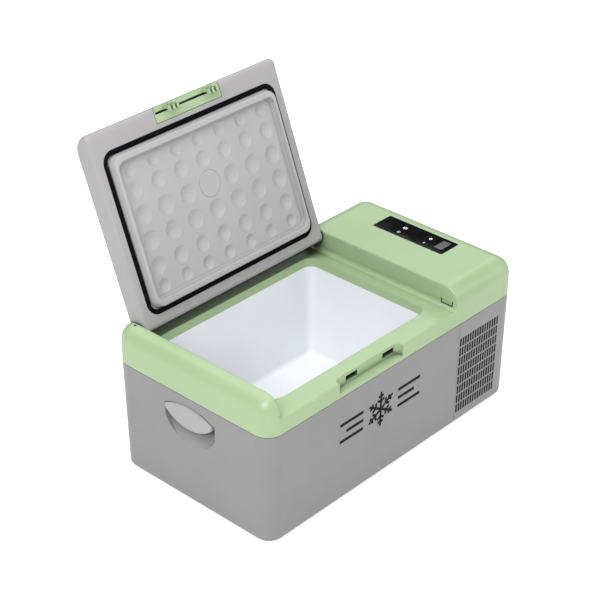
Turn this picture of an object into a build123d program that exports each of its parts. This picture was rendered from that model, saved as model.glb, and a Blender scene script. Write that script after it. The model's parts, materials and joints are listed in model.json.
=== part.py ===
from build123d import *
import os
from math import atan, degrees, radians, sin, cos

# Portable compressor fridge, lid open.
# Frame: millimetres, +Z up, origin on the floor at the middle of the footprint,
# +X towards the compressor end, +Y towards the back (hinge side).

# ---------------------------------------------------------------------------
# Driving dimensions
# ---------------------------------------------------------------------------
BODY_LENGTH = 570.0
BODY_DEPTH = 320.0
BODY_HEIGHT = 260.0
FOOT_HEIGHT = 8.0
SEAM_Z = 197.0  # the top frame ends here
CASE_TOP_Z = 196.3  # leaves a fine shadow gap below the top frame
LEDGE_Z = 223.0  # flat rim that the lid closes on
CORNER_RADIUS = 28.0
CASE_WALL = 2.5
CASE_FLOOR = 3.0
CASE_INSET = 3.5  # draft of the case at its foot, on each side
FRAME_WALL = 3.0
FIT = 0.3  # general gap between moulded parts

# Lid bay in the top frame
CHEEK_X = -260.0
HOOD_X = 136.0
BACK_WALL_Y = 153.5
BACK_WALL_TOP = 238.0
BAY_COVE = 7.0
BAY_CORNER = 8.0

# Tub
TUB_X = (-234.0, 110.0)
TUB_Y = (-122.0, 124.0)
TUB_RADIUS = 20.0
COLLAR_DEPTH = 13.0
COLLAR_INSET = 3.0
TUB_FLOOR_Z = 46.0
TUB_DRAFT = 2.27
LINER_WALL = 2.0

# Compressor bay
BAY_SEAM_X = 145.0
GRILLE_X = 196.5
GRILLE_Z = 97.0
GRILLE_WALL = 1.0
GRILLE_SPAN_X = (147.5, 246.0)
GRILLE_SPAN_Z = (24.0, 171.0)
SLOT_SIZE = (4.3, 15.4)
SLOT_PITCH = (6.2, 17.9)
SLOT_COUNT = (16, 8)

# Lid, measured closed
LID_X = (-258.5, 134.5)
LID_Y = (-158.0, 150.0)
LID_Z = (224.0, 260.0)
LID_WALL = 2.5
LID_FRONT_RADIUS = 28.0
LID_BACK_RADIUS = 8.0
LID_FOOT_RADIUS = 7.5
LID_END_RADIUS = 7.0
HINGE_Y = 139.7
HINGE_Z = 247.7
HINGE_BOSS = 8.0
BUSH_RADIUS = 5.0
LID_ANGLE = 111.0  # how far the lid stands open

# Lid seal and inner panel
GASKET_X = (-243.0, 116.0)
GASKET_Y = (-125.6, 130.8)
GASKET_WIDTH = 7.2
GASKET_RADIUS = 21.0
RIDGE_X = (-234.0, 108.5)
RIDGE_Y = (-117.8, 123.2)
RIDGE_RADIUS = 18.0
RIDGE_Z = 212.7
RIDGE_TAPER = 13.0
FIELD_X = (-223.0, 98.0)
FIELD_Y = (-102.0, 107.5)
FIELD_RADIUS = 10.0
FIELD_Z = 223.0
STEP_WIDTH = 3.4  # narrow step half way down the inner side of the ridge
STEP_Z = 218.2
DIMPLE_CENTRE_X = -63.0
DIMPLE_PITCH_X = 46.0
DIMPLE_COLUMNS = 7
DIMPLE_ROWS = ((-89.0, 22.0), (-57.0, 27.0), (-17.0, 31.0), (23.0, 31.0), (62.5, 27.0), (94.0, 22.0))
PLUG_CAP_CENTRE = (-63.0, -18.0)
PLUG_CAP_RADIUS = 21.0

# Latch
LATCH_X = (-127.0, 8.0)
LATCH_WIDTH = LATCH_X[1] - LATCH_X[0]
LATCH_BACK_Y = -134.0
LATCH_GAP = 0.7
LATCH_PIN = (-146.5, 243.5)
LATCH_BARREL = 7.9
LATCH_PIN_RADIUS = 1.5
HOOK_X = (-97.0, -15.0)
KEEPER_X = (-136.0, 6.0)
KEEPER_Y = -148.0
KEEPER_FLOOR_Z = 205.0

# Control panel in the hood
PANEL_X = (206.5, 251.0)
PANEL_Y = (-69.0, 74.0)
PANEL_THICKNESS = 1.8
KEY_CENTRES = {
    "power_key": (218.0, 28.5),
    "mode_key": (235.0, 28.5),
    "down_key": (218.0, -24.5),
    "up_key": (235.0, -24.5),
}
KEY_RADIUS = 6.3
DISPLAY_CENTRE = (231.0, -52.0)
DISPLAY_SIZE = (26.0, 15.0)

# Side grips
GRIP_Y = 3.0
GRIP_HALF = 49.0
GRIP_Z = (141.5, 161.5, 168.5, 181.0)  # lowest point, ends of the upright sides, highest point
GRIP_SCREW_Z = 168.0
SCOOP_Y = 0.8
SCOOP_HALF = 52.0
SCOOP_Z = (113.0, 146.0, 169.4, 181.6)
SCOOP_DEPTH = 24.0

# Feet and fixing points
FOOT_X = 240.0
FOOT_Y = 120.0
FIXING_RADIUS = 3.3

CASE_TAPER = degrees(atan(CASE_INSET / (SEAM_Z - FOOT_HEIGHT)))
COLLAR_TAPER = degrees(atan(COLLAR_INSET / COLLAR_DEPTH))
COLLAR_Z = LEDGE_Z - COLLAR_DEPTH
FLOOR_TOP_Z = FOOT_HEIGHT + CASE_FLOOR
HINGE_AXIS = Axis((0, HINGE_Y, HINGE_Z), (1, 0, 0))
FOOT_POINTS = [(x, y) for x in (-FOOT_X, FOOT_X) for y in (-FOOT_Y, FOOT_Y)]

os.makedirs("parts", exist_ok=True)


# ---------------------------------------------------------------------------
# Helpers that draw into the builder that is open
# ---------------------------------------------------------------------------
def slab(x_range, y_range, z_range, mode=Mode.ADD):
    """Box between two values on each axis."""
    ranges = (x_range, y_range, z_range)
    centre = [(low + high) / 2 for low, high in ranges]
    size = [high - low for low, high in ranges]
    with Locations(tuple(centre)):
        Box(*size, mode=mode)


def rounded_prism(x_range, y_range, z_range, radius, taper=0.0, mode=Mode.ADD):
    """Rounded rectangle drawn at z_range[0] and extruded to z_range[1], narrowing by taper."""
    centre = (sum(x_range) / 2, sum(y_range) / 2)
    rise = z_range[1] - z_range[0]
    # a downward prism is drawn on a plane that faces down, so that the taper narrows it too
    facing = 1 if rise > 0 else -1
    plane = Plane(origin=(*centre, z_range[0]), x_dir=(1, 0, 0), z_dir=(0, 0, facing))
    with BuildSketch(plane) as outline:
        RectangleRounded(x_range[1] - x_range[0], y_range[1] - y_range[0], radius)
    extrude(outline.sketch, amount=abs(rise), taper=taper, mode=mode)


def grown(span, amount):
    """A (low, high) pair widened by amount at both ends."""
    return (span[0] - amount, span[1] + amount)


def rod(point, direction, radius, length, mode=Mode.ADD):
    """Cylinder of the given length that starts at point."""
    with BuildSketch(Plane(origin=point, z_dir=direction)) as circle:
        Circle(radius)
    extrude(circle.sketch, amount=length, mode=mode)


def tube_along(points, bend_radius, radius):
    """Round tube that follows straight runs joined by bends."""
    with BuildLine() as path:
        FilletPolyline(*points, radius=bend_radius)
    start = path.line @ 0
    with BuildSketch(Plane(origin=start, z_dir=path.line % 0)) as section:
        Circle(radius)
    sweep(section.sketch, path=path.line)


def lens(centre_y, half, z_low, side_low, side_high, z_high):
    """Half-moon outline in the Y-Z plane, with upright sides between two heights."""
    back, front = centre_y + half, centre_y - half
    with BuildLine() as outline:
        ThreePointArc((front, side_high), (centre_y, z_high), (back, side_high))
        Line((back, side_high), (back, side_low))
        ThreePointArc((back, side_low), (centre_y, z_low), (front, side_low))
        Line((front, side_low), (front, side_high))
    return outline.line


# ---------------------------------------------------------------------------
# Top frame: raised left cheek, hood over the compressor, rim for the lid
# ---------------------------------------------------------------------------
def frame_envelope(inset=0.0):
    """Outer form of the frame, shrunk by inset on its sides and top."""
    with BuildPart() as envelope:
        with BuildSketch(Plane.XY.offset(SEAM_Z)):
            Rectangle(BODY_LENGTH - 2 * inset, BODY_DEPTH - 2 * inset)
        extrude(amount=BODY_HEIGHT - SEAM_Z - inset)
        upright = envelope.edges().filter_by(Axis.Z)
        top = envelope.edges().group_by(Axis.Z)[-1]
        fillet(upright + top, CORNER_RADIUS - inset)
    return envelope.part


def lid_bay(grow=0.0):
    """Space that the lid closes into, grown towards the frame."""
    with BuildPart() as bay:
        slab(
            grown((CHEEK_X, HOOD_X), grow),
            (-BODY_DEPTH, BACK_WALL_Y + grow),
            (LEDGE_Z - grow, BODY_HEIGHT + 20),
        )
        fillet(bay.edges().filter_by(Axis.Z).group_by(Axis.Y)[-1], BAY_CORNER + grow)
        foot = bay.edges().group_by(Axis.Z)[0].sort_by(Axis.Y)[1:]
        fillet(foot, BAY_COVE + grow)
        slab(
            grown((CHEEK_X, HOOD_X), grow),
            (BACK_WALL_Y - 20, BODY_DEPTH),
            (BACK_WALL_TOP - grow, BODY_HEIGHT + 20),
        )
    return bay.part


def tub_mouth(grow=0.0):
    """Sloping mouth of the tub, from the rim down to the liner."""
    with BuildPart() as mouth:
        rounded_prism(
            grown(TUB_X, grow), grown(TUB_Y, grow), (LEDGE_Z, COLLAR_Z), TUB_RADIUS + grow, COLLAR_TAPER
        )
    return mouth.part


def keeper_notch(grow=0.0):
    """Finger notch in the front rim, where the latch hooks go in."""
    with BuildPart() as notch:
        slab(grown(KEEPER_X, grow), (-BODY_DEPTH, KEEPER_Y + grow), (KEEPER_FLOOR_Z - grow, LEDGE_Z + 1))
        fillet(notch.edges().filter_by(Axis.Z).group_by(Axis.Y)[-1], 9 + grow)
    return notch.part


with BuildPart() as frame_hollow:
    add(frame_envelope(FRAME_WALL))
    add(lid_bay(FRAME_WALL), mode=Mode.SUBTRACT)
    add(tub_mouth(FRAME_WALL), mode=Mode.SUBTRACT)
    add(keeper_notch(FRAME_WALL), mode=Mode.SUBTRACT)

with BuildPart() as top_frame:
    add(frame_envelope())
    add(lid_bay(), mode=Mode.SUBTRACT)
    # soften the upper edges of the cheek and the hood where they face the lid
    bay_edges = top_frame.edges().filter_by(Axis.Y).filter_by_position(Axis.Z, LEDGE_Z + 20, BODY_HEIGHT + 1)
    fillet(bay_edges.filter_by_position(Axis.X, CHEEK_X - 0.1, HOOD_X + 0.1), 3)
    add(tub_mouth(), mode=Mode.SUBTRACT)
    add(keeper_notch(), mode=Mode.SUBTRACT)
    add(frame_hollow.part, mode=Mode.SUBTRACT)
    # tongue that drops inside the case
    for low, high, outer, inner in ((SEAM_Z, SEAM_Z + 3, 1.0, 4.3), (SEAM_Z - 6, SEAM_Z, 2.8, 4.3)):
        with BuildSketch(Plane.XY.offset(low)) as ring:
            RectangleRounded(BODY_LENGTH - 2 * outer, BODY_DEPTH - 2 * outer, CORNER_RADIUS - outer)
            RectangleRounded(
                BODY_LENGTH - 2 * inner, BODY_DEPTH - 2 * inner, CORNER_RADIUS - inner, mode=Mode.SUBTRACT
            )
        extrude(ring.sketch, amount=high - low)
    # slots that catch the latch hooks, closed behind by small boxes
    for x in HOOK_X:
        slab((x - 14.5, x + 14.5), (KEEPER_Y + 1, KEEPER_Y + 12), (207, 220))
        slab((x - 12.5, x + 12.5), (KEEPER_Y - 1, KEEPER_Y + 10), (209, 218), mode=Mode.SUBTRACT)
    # hinge bosses and pin holes
    for start, direction, length in ((CHEEK_X, -1, 9.0), (HOOD_X, 1, 11.0)):
        rod((start, HINGE_Y, HINGE_Z), (direction, 0, 0), 6.5, length)
        rod((start, HINGE_Y, HINGE_Z), (direction, 0, 0), 3.0, length - 1, mode=Mode.SUBTRACT)
    # access hole above the left hinge pin
    rod((CHEEK_X - 5.5, 131, BODY_HEIGHT + 1), (0, 0, -1), 2.0, 12, mode=Mode.SUBTRACT)
    # spring tab in the hood wall: a gap on three sides
    for y_range, z_range in (
        ((-150, -127), (226.6, 228.8)),
        ((-150, -148.2), (226.6, 236)),
        ((-128.8, -127), (226.6, 236)),
    ):
        slab((HOOD_X - 4, HOOD_X + 6), y_range, z_range, mode=Mode.SUBTRACT)
    # seat and window for the control panel, with bosses for its circuit board
    rounded_prism(
        grown(PANEL_X, 0.25), grown(PANEL_Y, 0.25),
        (BODY_HEIGHT - PANEL_THICKNESS, BODY_HEIGHT + 1), 2.2, mode=Mode.SUBTRACT,
    )
    rounded_prism(
        grown(PANEL_X, -3), grown(PANEL_Y, -3), (BODY_HEIGHT - 5, BODY_HEIGHT + 1), 2, mode=Mode.SUBTRACT
    )
    for x in (212.0, 246.0):
        for y in (-73.5, 78.5):
            rod((x, y, BODY_HEIGHT - FRAME_WALL + 0.2), (0, 0, -1), 3.0, 5.2)
            rod((x, y, BODY_HEIGHT - FRAME_WALL - 1), (0, 0, -1), 1.2, 4.1, mode=Mode.SUBTRACT)
top_frame.part.label = "top_frame"
export_step(top_frame.part, "parts/top_frame.step")


# ---------------------------------------------------------------------------
# Case: drafted tub in two mouldings, split in front of the compressor bay
# ---------------------------------------------------------------------------
def side_scoop(grow=0.0):
    """Hand recess in the left end wall, grown inwards by grow."""
    outside_x = -BODY_LENGTH / 2 - 12
    deep_x = -BODY_LENGTH / 2 + SCOOP_DEPTH + grow
    # the recess runs out to the wall at its lowest point
    lip = (-BODY_LENGTH / 2 + 1.6 + grow, SCOOP_Z[0] - grow)
    ramp = (-BODY_LENGTH / 2 + 5.2 + grow, 131 - grow)
    back = (deep_x, 148 - grow)
    with BuildPart() as scoop:
        with BuildSketch(Plane.YZ.offset(outside_x)):
            make_face(lens(SCOOP_Y, SCOOP_HALF, *SCOOP_Z))
            if grow:
                offset(amount=grow)
        extrude(amount=deep_x - outside_x)
        with BuildSketch(Plane.XZ.offset(-BODY_DEPTH / 2)):
            with BuildLine():
                ThreePointArc(lip, ramp, back)
                Polyline(back, (deep_x, SEAM_Z), (outside_x, SEAM_Z), (outside_x, lip[1] - 4), lip)
            make_face()
        extrude(amount=BODY_DEPTH, mode=Mode.INTERSECT)
    return scoop.part


with BuildPart() as case_inside:
    rounded_prism(
        grown((-BODY_LENGTH / 2, BODY_LENGTH / 2), -CASE_WALL),
        grown((-BODY_DEPTH / 2, BODY_DEPTH / 2), -CASE_WALL),
        (SEAM_Z, FLOOR_TOP_Z), CORNER_RADIUS - CASE_WALL, CASE_TAPER,
    )
    pocket = side_scoop(CASE_WALL)
    add(pocket, mode=Mode.SUBTRACT)
    add(pocket.mirror(Plane.YZ), mode=Mode.SUBTRACT)

with BuildPart() as case_shell:
    rounded_prism(
        (-BODY_LENGTH / 2, BODY_LENGTH / 2), (-BODY_DEPTH / 2, BODY_DEPTH / 2),
        (SEAM_Z, FOOT_HEIGHT), CORNER_RADIUS, CASE_TAPER,
    )
    fillet(case_shell.edges().group_by(Axis.Z)[0], 6)
    add(case_inside.part, mode=Mode.SUBTRACT)
    scoop = side_scoop()
    add(scoop, mode=Mode.SUBTRACT)
    add(scoop.mirror(Plane.YZ), mode=Mode.SUBTRACT)
    slab((-300, 300), (-170, 170), (CASE_TOP_Z, SEAM_Z + 1), mode=Mode.SUBTRACT)
    # air grilles, front and back, in walls made thinner from inside
    with BuildPart(mode=Mode.PRIVATE) as grille_space:
        rounded_prism(
            grown((-BODY_LENGTH / 2, BODY_LENGTH / 2), -GRILLE_WALL),
            grown((-BODY_DEPTH / 2, BODY_DEPTH / 2), -GRILLE_WALL),
            (SEAM_Z, FLOOR_TOP_Z), CORNER_RADIUS - GRILLE_WALL, CASE_TAPER,
        )
        slab(GRILLE_SPAN_X, (-170, 170), GRILLE_SPAN_Z, mode=Mode.INTERSECT)
    add(grille_space.part, mode=Mode.SUBTRACT)
    for plane in (Plane.XZ.offset(BODY_DEPTH / 2 - 15), Plane.XZ.offset(-BODY_DEPTH / 2 - 5)):
        with BuildSketch(plane) as slots:
            with Locations((GRILLE_X, GRILLE_Z)):
                with GridLocations(*SLOT_PITCH, *SLOT_COUNT):
                    Rectangle(*SLOT_SIZE)
        extrude(slots.sketch, amount=20, mode=Mode.SUBTRACT)
    # air slots under the compressor
    with BuildSketch(Plane.XY.offset(FOOT_HEIGHT - 1)) as base_slots:
        with Locations((GRILLE_X + 18, 0)):
            with GridLocations(14, 90, 6, 2):
                SlotOverall(70, 6, rotation=90)
    extrude(base_slots.sketch, amount=CASE_FLOOR + 2, mode=Mode.SUBTRACT)
    # bosses that carry the feet and the fixing inserts
    for x, y in FOOT_POINTS:
        rod((x, y, FOOT_HEIGHT), (0, 0, 1), 11, 18)
        rod((x, y, FOOT_HEIGHT - 1), (0, 0, 1), 7, 5, mode=Mode.SUBTRACT)
        rod((x, y, FOOT_HEIGHT), (0, 0, 1), 4.5, 19, mode=Mode.SUBTRACT)
    # chassis screw holes
    for x, y in ((158, -100), (158, 0), (158, 100), (270, -85), (270, 0), (270, 85)):
        rod((x, y, FOOT_HEIGHT - 1), (0, 0, 1), 2.0, CASE_FLOOR + 2, mode=Mode.SUBTRACT)
    # power inlet opening in the right end
    slab((270, 290), (-109, -81), (62, 78), mode=Mode.SUBTRACT)
    # screw holes for the grips
    for side in (-1, 1):
        for y in (GRIP_Y - 26, GRIP_Y + 26):
            rod((side * (BODY_LENGTH / 2 - 18), y, GRIP_SCREW_Z), (-side, 0, 0), 1.6, 12, mode=Mode.SUBTRACT)

with BuildPart() as outer_case:
    add(case_shell.part)
    split(bisect_by=Plane.YZ.offset(BAY_SEAM_X - 0.2), keep=Keep.BOTTOM)
outer_case.part.label = "outer_case"
export_step(outer_case.part, "parts/outer_case.step")

with BuildPart() as bay_cover:
    add(case_shell.part)
    split(bisect_by=Plane.YZ.offset(BAY_SEAM_X + 0.2), keep=Keep.TOP)
bay_cover.part.label = "bay_cover"
export_step(bay_cover.part, "parts/bay_cover.step")

# Rubber feet, each round a fixing hole
with BuildPart() as feet:
    with BuildSketch(Plane.XZ) as foot_half:
        with BuildLine():
            Polyline(
                (FIXING_RADIUS, 0), (14.5, 0), (16, 1.5), (16, FOOT_HEIGHT - 0.05), (6.9, FOOT_HEIGHT - 0.05),
                (6.9, FOOT_HEIGHT + 3.5), (FIXING_RADIUS, FOOT_HEIGHT + 3.5), (FIXING_RADIUS, 0),
            )
        make_face()
    one_foot = revolve(foot_half.sketch, Axis.Z, mode=Mode.PRIVATE)
    with Locations(*FOOT_POINTS):
        add(one_foot)
feet.part.label = "feet"
export_step(feet.part, "parts/feet.step")

with BuildPart() as foot_inserts:
    with BuildSketch(Plane.XY.offset(FOOT_HEIGHT + 4)):
        with Locations(*FOOT_POINTS):
            Circle(4.5)
            Circle(FIXING_RADIUS, mode=Mode.SUBTRACT)
    extrude(amount=12)
foot_inserts.part.label = "foot_inserts"
export_step(foot_inserts.part, "parts/foot_inserts.step")

# ---------------------------------------------------------------------------
# Side grips: half-moon shells in front of the hand recesses
# ---------------------------------------------------------------------------
GRIP_FACE_X = -BODY_LENGTH / 2 - 2.0
with BuildPart() as side_grip_left:
    with BuildSketch(Plane.YZ.offset(GRIP_FACE_X)):
        make_face(lens(GRIP_Y, GRIP_HALF, *GRIP_Z))
    extrude(amount=14)
    fillet(side_grip_left.faces().sort_by(Axis.X)[0].edges(), 3.2)
    with BuildSketch(Plane.YZ.offset(GRIP_FACE_X + 3.4)):
        make_face(lens(GRIP_Y, GRIP_HALF, *GRIP_Z))
        offset(amount=-3.4)
    extrude(amount=14, mode=Mode.SUBTRACT)
    for y in (GRIP_Y - 26, GRIP_Y + 26):
        rod((GRIP_FACE_X + 3, y, GRIP_SCREW_Z), (1, 0, 0), 4.2, SCOOP_DEPTH - 1.2)
        rod((GRIP_FACE_X + 10, y, GRIP_SCREW_Z), (1, 0, 0), 1.5, SCOOP_DEPTH, mode=Mode.SUBTRACT)
side_grip_left.part.label = "side_grip_left"
export_step(side_grip_left.part, "parts/side_grip_left.step")

with BuildPart() as side_grip_right:
    add(side_grip_left.part.mirror(Plane.YZ))
side_grip_right.part.label = "side_grip_right"
export_step(side_grip_right.part, "parts/side_grip_right.step")

POCKET_BACK_X = BODY_LENGTH / 2 - SCOOP_DEPTH - CASE_WALL
with BuildPart() as grip_screws:
    for side in (-1, 1):
        for y in (GRIP_Y - 26, GRIP_Y + 26):
            rod((side * POCKET_BACK_X, y, GRIP_SCREW_Z), (side, 0, 0), 1.5, 14)
            rod((side * POCKET_BACK_X, y, GRIP_SCREW_Z), (-side, 0, 0), 3.2, 2)
grip_screws.part.label = "grip_screws"
export_step(grip_screws.part, "parts/grip_screws.step")

# ---------------------------------------------------------------------------
# Insulated tub
# ---------------------------------------------------------------------------
LINER_X = grown(TUB_X, -COLLAR_INSET)
LINER_Y = grown(TUB_Y, -COLLAR_INSET)
LINER_RADIUS = TUB_RADIUS - COLLAR_INSET
with BuildPart() as tub_space:
    rounded_prism(LINER_X, LINER_Y, (COLLAR_Z, TUB_FLOOR_Z), LINER_RADIUS, TUB_DRAFT)
    fillet(tub_space.edges().group_by(Axis.Z)[0], 9)

with BuildPart() as inner_liner:
    rounded_prism(
        grown(LINER_X, LINER_WALL), grown(LINER_Y, LINER_WALL),
        (COLLAR_Z, TUB_FLOOR_Z - LINER_WALL), LINER_RADIUS + LINER_WALL, TUB_DRAFT,
    )
    fillet(inner_liner.edges().group_by(Axis.Z)[0], 11)
    rounded_prism(grown(LINER_X, 8), grown(LINER_Y, 8), (COLLAR_Z - 2, COLLAR_Z), LINER_RADIUS + 8)
    add(tub_space.part, mode=Mode.SUBTRACT)
inner_liner.part.label = "inner_liner"
export_step(inner_liner.part, "parts/inner_liner.step")

# Evaporator: plate wrapped round the tub, with the coil brazed outside it
PLATE_X = grown(LINER_X, LINER_WALL + 0.2)
PLATE_Y = grown(LINER_Y, LINER_WALL + 0.2)
PLATE_Z = (70.0, 150.0)
PLATE_THICKNESS = 1.2
with BuildPart() as evaporator_plate:
    rounded_prism(
        grown(PLATE_X, PLATE_THICKNESS), grown(PLATE_Y, PLATE_THICKNESS), PLATE_Z,
        LINER_RADIUS + LINER_WALL + PLATE_THICKNESS,
    )
    rounded_prism(PLATE_X, PLATE_Y, PLATE_Z, LINER_RADIUS + LINER_WALL, mode=Mode.SUBTRACT)
evaporator_plate.part.label = "evaporator_plate"
export_step(evaporator_plate.part, "parts/evaporator_plate.step")

COIL_RADIUS = 3.0
COIL_X = grown(PLATE_X, PLATE_THICKNESS + COIL_RADIUS + 0.1)
COIL_Y = grown(PLATE_Y, PLATE_THICKNESS + COIL_RADIUS + 0.1)
COIL_LEAD_X = 139.0
coil_corners = [(COIL_X[a], COIL_Y[b]) for a, b in ((1, 1), (0, 1), (0, 0), (1, 0))]
coil_points = [(COIL_LEAD_X, 60, 80), (COIL_X[1], 60, 80)]
coil_points += [(*coil_corners[turn % 4], 84 + 8 * turn) for turn in range(8)]
coil_points += [(COIL_X[1], 96, 144), (COIL_LEAD_X, 96, 144)]
with BuildPart() as evaporator_coil:
    tube_along(coil_points, 12, COIL_RADIUS)
evaporator_coil.part.label = "evaporator_coil"
export_step(evaporator_coil.part, "parts/evaporator_coil.step")

with BuildPart() as foam_insulation:
    rounded_prism((-278.5, 141.6), (-153.5, 153.5), (FLOOR_TOP_Z + FIT, 200), 22)
    rounded_prism(
        grown(LINER_X, LINER_WALL + FIT), grown(LINER_Y, LINER_WALL + FIT),
        (COLLAR_Z, TUB_FLOOR_Z - LINER_WALL - FIT), LINER_RADIUS + LINER_WALL, TUB_DRAFT, mode=Mode.SUBTRACT,
    )
    rounded_prism(grown(COIL_X, 4), grown(COIL_Y, 4), (68, 152), 14, mode=Mode.SUBTRACT)
    slab((100, 150), (50, 106), (74, 150), mode=Mode.SUBTRACT)
    slab((-290, -253.5), (-56, 62), (107, 188), mode=Mode.SUBTRACT)
    for x, y in FOOT_POINTS[:2]:
        rod((x, y, FLOOR_TOP_Z), (0, 0, 1), 11.5, 16, mode=Mode.SUBTRACT)
foam_insulation.part.label = "foam_insulation"
export_step(foam_insulation.part, "parts/foam_insulation.step")

LINE_HOLES = ((60, 80, 4.5), (96, 144, 4.5))
with BuildPart() as bulkhead:
    slab((141.9, 144.4), (-153.4, 153.4), (FLOOR_TOP_Z + FIT, SEAM_Z - 1))
    for y, z, radius in LINE_HOLES:
        rod((140, y, z), (1, 0, 0), radius, 15, mode=Mode.SUBTRACT)
bulkhead.part.label = "bulkhead"
export_step(bulkhead.part, "parts/bulkhead.step")

# ---------------------------------------------------------------------------
# Compressor bay
# ---------------------------------------------------------------------------
CHASSIS_Z = (FLOOR_TOP_Z + 0.2, FLOOR_TOP_Z + 2.2)
CHASSIS_SCREWS = ((158, -100), (158, 0), (158, 100), (270, -85), (270, 0), (270, 85))
COMPRESSOR = (215.0, 48.0)
MOUNTS = [(COMPRESSOR[0] + dx, COMPRESSOR[1] + dy) for dx in (-38, 38) for dy in (-38, 38)]
with BuildPart() as chassis_plate:
    rounded_prism((152, 276), (-146, 146), CHASSIS_Z, 12)
    for x, y in FOOT_POINTS[2:]:
        rod((x, y, FLOOR_TOP_Z), (0, 0, 1), 11.5, 5, mode=Mode.SUBTRACT)
    for x, y in CHASSIS_SCREWS:
        rod((x, y, FLOOR_TOP_Z), (0, 0, 1), 1.9, 5, mode=Mode.SUBTRACT)
    for x, y in MOUNTS:
        rod((x, y, FLOOR_TOP_Z), (0, 0, 1), 3.0, 5, mode=Mode.SUBTRACT)
    with BuildSketch(Plane.XY.offset(FLOOR_TOP_Z)) as chassis_slots:
        with Locations((GRILLE_X + 18, -45)):
            with GridLocations(14, 90, 6, 1):
                SlotOverall(70, 6, rotation=90)
    extrude(chassis_slots.sketch, amount=5, mode=Mode.SUBTRACT)
chassis_plate.part.label = "chassis_plate"
export_step(chassis_plate.part, "parts/chassis_plate.step")

with BuildPart() as chassis_screws:
    for x, y in CHASSIS_SCREWS:
        rod((x, y, FOOT_HEIGHT), (0, 0, -1), 3.5, 2)
        rod((x, y, FOOT_HEIGHT), (0, 0, 1), 1.9, 8)
chassis_screws.part.label = "chassis_screws"
export_step(chassis_screws.part, "parts/chassis_screws.step")

GROMMET_Z = (CHASSIS_Z[1], CHASSIS_Z[1] + 9)
with BuildPart() as compressor_grommets:
    for x, y in MOUNTS:
        rod((x, y, GROMMET_Z[0]), (0, 0, 1), 9, 9)
        rod((x, y, GROMMET_Z[0] - 1), (0, 0, 1), 3.1, 11, mode=Mode.SUBTRACT)
    with Locations(*[(x, y, GROMMET_Z[0] + 4.5) for x, y in MOUNTS]):
        Torus(10, 1.6, mode=Mode.SUBTRACT)
compressor_grommets.part.label = "compressor_grommets"
export_step(compressor_grommets.part, "parts/compressor_grommets.step")

BASE_Z = (GROMMET_Z[1], GROMMET_Z[1] + 2.5)
with BuildPart() as compressor_base:
    rounded_prism(
        grown((COMPRESSOR[0], COMPRESSOR[0]), 48), grown((COMPRESSOR[1], COMPRESSOR[1]), 48), BASE_Z, 12
    )
    for x, y in MOUNTS:
        rod((x, y, BASE_Z[0] - 1), (0, 0, 1), 3.1, 5, mode=Mode.SUBTRACT)
compressor_base.part.label = "compressor_base"
export_step(compressor_base.part, "parts/compressor_base.step")

with BuildPart() as compressor_bolts:
    for x, y in MOUNTS:
        rod((x, y, CHASSIS_Z[0]), (0, 0, 1), 3.0, BASE_Z[1] - CHASSIS_Z[0])
        with BuildSketch(Plane.XY.offset(BASE_Z[1])) as head:
            with Locations((x, y)):
                RegularPolygon(5.5, 6)
        extrude(head.sketch, amount=4)
compressor_bolts.part.label = "compressor_bolts"
export_step(compressor_bolts.part, "parts/compressor_bolts.step")

CAN_RADIUS = 45.0
CAN_TOP = 138.0
CAN_BOTTOM = BASE_Z[1]
CAN_WELD = 84.0
DISCHARGE_PORT_Y = -30.0
DISCHARGE_RADIUS = 2.2
SUCTION_PORT_X = -25.0
SUCTION_PORT_Z = 60.0
SUCTION_RADIUS = 3.0
with BuildPart() as compressor_shell:
    with BuildSketch(Plane.XZ) as can_half:
        with BuildLine():
            Line((0, CAN_BOTTOM), (CAN_RADIUS - 20, CAN_BOTTOM))
            TangentArc((CAN_RADIUS - 20, CAN_BOTTOM), (CAN_RADIUS, CAN_BOTTOM + 20), tangent=(1, 0))
            Line((CAN_RADIUS, CAN_BOTTOM + 20), (CAN_RADIUS, CAN_WELD))
            Polyline(
                (CAN_RADIUS, CAN_WELD), (CAN_RADIUS + 2.5, CAN_WELD), (CAN_RADIUS + 2.5, CAN_WELD + 4),
                (CAN_RADIUS - 1, CAN_WELD + 4), (CAN_RADIUS - 1, CAN_TOP - 26),
            )
            Spline((CAN_RADIUS - 1, CAN_TOP - 26), (0, CAN_TOP), tangents=((0, 1), (-1, 0)))
            Line((0, CAN_TOP), (0, CAN_BOTTOM))
        make_face()
    revolve(can_half.sketch, Axis.Z)
    # ports for the discharge and suction lines
    rod((0, DISCHARGE_PORT_Y, 127), (0, 0, 1), DISCHARGE_RADIUS + 0.05, 20, mode=Mode.SUBTRACT)
    rod((SUCTION_PORT_X, 34, SUCTION_PORT_Z), (0, 1, 0), SUCTION_RADIUS + 0.05, 20, mode=Mode.SUBTRACT)
compressor_shell.part = compressor_shell.part.moved(Location((*COMPRESSOR, 0)))
compressor_shell.part.label = "compressor_shell"
export_step(compressor_shell.part, "parts/compressor_shell.step")

with BuildPart() as terminal_cover:
    slab((COMPRESSOR[0] - 16, COMPRESSOR[0] + 16), (COMPRESSOR[1] + 46, COMPRESSOR[1] + 62), (92, 124))
    fillet(terminal_cover.edges().filter_by(Axis.Y), 4)
    fillet(terminal_cover.faces().sort_by(Axis.Y)[-1].edges(), 2)
terminal_cover.part.label = "terminal_cover"
export_step(terminal_cover.part, "parts/terminal_cover.step")

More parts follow.
